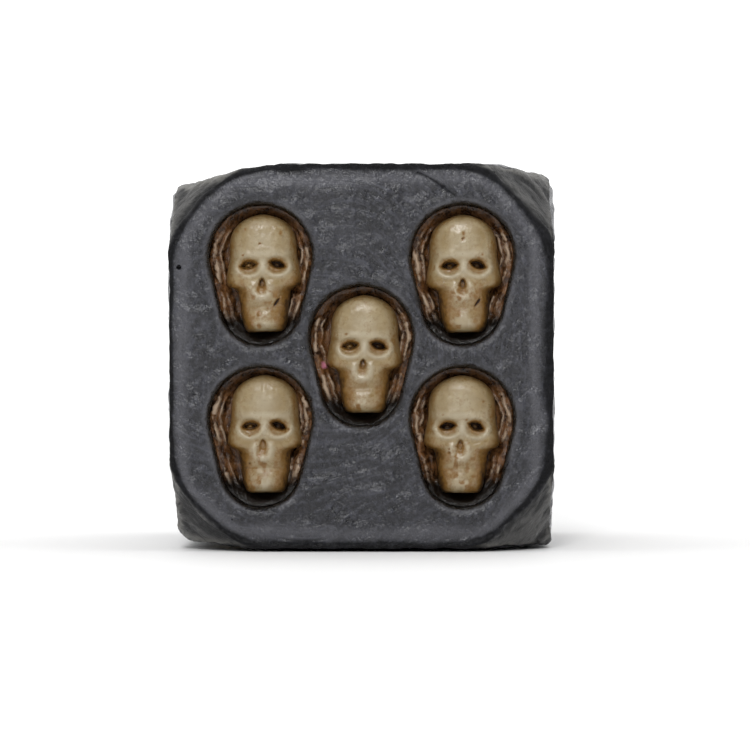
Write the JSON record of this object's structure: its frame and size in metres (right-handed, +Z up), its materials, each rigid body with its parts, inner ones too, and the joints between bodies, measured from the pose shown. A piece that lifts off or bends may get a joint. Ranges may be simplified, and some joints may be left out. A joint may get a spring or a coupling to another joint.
{
  "type": "skull pip die",
  "caption": "Six-sided gaming die with worn corners, whose pips are small carved skulls set in stained egg-shaped pockets.",
  "frame": {"origin": "middle of the face of six that the die rests on", "axes": "+Z up through the face of one, +X out of the face of four, +Y out of the face of two, so the face of five looks along -Y"},
  "size_m": [0.019, 0.019, 0.019],
  "materials": {
    "black_resin": "satin",
    "bone_resin": "satin",
    "brown_stain": "gloss"
  },
  "bodies": {
    "root": {"die_body": "black_resin", "bed_1_centre": "brown_stain", "bed_2_lower_left": "brown_stain", "bed_2_upper_right": "brown_stain", "bed_3_centre": "brown_stain", "bed_3_upper_left": "brown_stain", "bed_3_lower_right": "brown_stain", "bed_4_lower_left": "brown_stain", "bed_4_upper_right": "brown_stain", "bed_4_upper_left": "brown_stain", "bed_4_lower_right": "brown_stain", "bed_5_centre": "brown_stain", "bed_5_lower_left": "brown_stain", "bed_5_upper_right": "brown_stain", "bed_5_upper_left": "brown_stain", "bed_5_lower_right": "brown_stain", "bed_6_upper_left": "brown_stain", "bed_6_upper_middle": "brown_stain", "bed_6_upper_right": "brown_stain", "bed_6_lower_left": "brown_stain", "bed_6_lower_middle": "brown_stain", "bed_6_lower_right": "brown_stain", "skull_1_centre": "bone_resin", "skull_2_lower_left": "bone_resin", "skull_2_upper_right": "bone_resin", "skull_3_centre": "bone_resin", "skull_3_upper_left": "bone_resin", "skull_3_lower_right": "bone_resin", "skull_4_lower_left": "bone_resin", "skull_4_upper_right": "bone_resin", "skull_4_upper_left": "bone_resin", "skull_4_lower_right": "bone_resin", "skull_5_centre": "bone_resin", "skull_5_lower_left": "bone_resin", "skull_5_upper_right": "bone_resin", "skull_5_upper_left": "bone_resin", "skull_5_lower_right": "bone_resin", "skull_6_upper_left": "bone_resin", "skull_6_upper_middle": "bone_resin", "skull_6_upper_right": "bone_resin", "skull_6_lower_left": "bone_resin", "skull_6_lower_middle": "bone_resin", "skull_6_lower_right": "bone_resin"}
  },
  "joints": []
}
